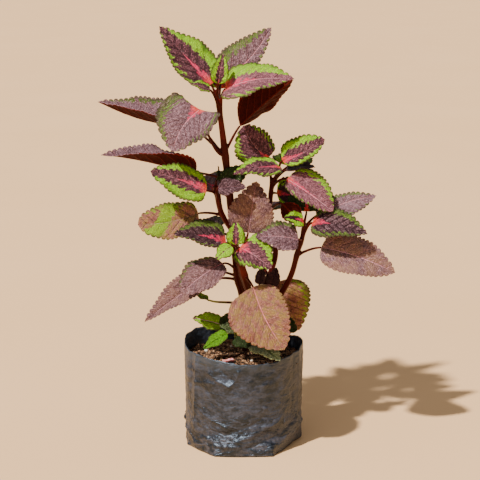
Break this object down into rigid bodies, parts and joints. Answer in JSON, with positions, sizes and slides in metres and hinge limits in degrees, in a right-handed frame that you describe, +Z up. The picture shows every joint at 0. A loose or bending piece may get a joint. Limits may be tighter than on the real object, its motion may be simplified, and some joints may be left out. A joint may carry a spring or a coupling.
{
  "type": "potted coleus plant",
  "caption": "Potted coleus: plum and lime toothed leaves with pink centres on dark stems, in a thin black grow bag of soil.",
  "frame": {"origin": "centre of the grow bag's flat base, on the surface it stands on", "axes": "+Z up along the plant, -Y towards the pictured side, +X to the viewer's right"},
  "size_m": [0.2873, 0.1517, 0.4114],
  "materials": {
    "grow_bag": "thin black polythene film, soft sheen",
    "soil": "damp dark coco peat",
    "stem": "dark maroon, slightly waxy",
    "leaf_lime": "plum blade with a broad lime margin and a coral pink centre",
    "leaf_plum": "dusky plum blade with a narrow green margin and pink veins",
    "leaf_old": "old brownish pink blade with yellow blotches",
    "leaf_green": "young green blade"
  },
  "bodies": {
    "root": {"grow_bag": "grow_bag", "leaf_branch_left": "leaf_lime", "leaf_branch_low": "leaf_old", "leaf_branch_rear": "leaf_plum", "leaf_crown_back": "leaf_plum", "leaf_crown_bud": "leaf_lime", "leaf_crown_left": "leaf_lime", "leaf_crown_rear": "leaf_lime", "leaf_crown_right": "leaf_lime", "leaf_crown_small": "leaf_lime", "leaf_folded_left": "leaf_plum", "leaf_fork_dark": "leaf_plum", "leaf_fork_side": "leaf_plum", "leaf_front_left": "leaf_lime", "leaf_front_right": "leaf_lime", "leaf_front_small": "leaf_lime", "leaf_front_upright": "leaf_lime", "leaf_low_front": "leaf_old", "leaf_low_green": "leaf_green", "leaf_low_left": "leaf_plum", "leaf_low_left_long": "leaf_plum", "leaf_low_left_rear": "leaf_old", "leaf_low_olive": "leaf_old", "leaf_low_rear": "leaf_old", "leaf_middle_rear": "leaf_plum", "leaf_middle_right": "leaf_plum", "leaf_middle_upright": "leaf_plum", "leaf_rear_back": "leaf_lime", "leaf_rear_edge": "leaf_plum", "leaf_rear_far": "leaf_lime", "leaf_rear_left": "leaf_lime", "leaf_rear_low": "leaf_lime", "leaf_rear_right": "leaf_lime", "leaf_right_back": "leaf_plum", "leaf_right_bright": "leaf_lime", "leaf_right_curl": "leaf_green", "leaf_right_dark": "leaf_plum", "leaf_right_low": "leaf_old", "leaf_right_marked": "leaf_lime", "leaf_right_rear": "leaf_plum", "leaf_right_shaded": "leaf_green", "leaf_side_edge": "leaf_green", "leaf_side_green": "leaf_green", "leaf_side_purple": "leaf_plum", "leaf_side_rear": "leaf_plum", "leaf_soil_dark": "leaf_green", "leaf_soil_front_left": "leaf_green", "leaf_soil_grey": "leaf_green", "leaf_soil_left": "leaf_green", "leaf_soil_pale": "leaf_green", "leaf_soil_upright": "leaf_green", "leaf_soil_yellow": "leaf_green", "leaf_upper_front": "leaf_plum", "leaf_upper_left": "leaf_plum", "leaf_upper_rear": "leaf_plum", "leaf_upper_right": "leaf_plum", "soil": "soil", "stem_forked": "stem", "stem_tall": "stem"}
  },
  "joints": []
}
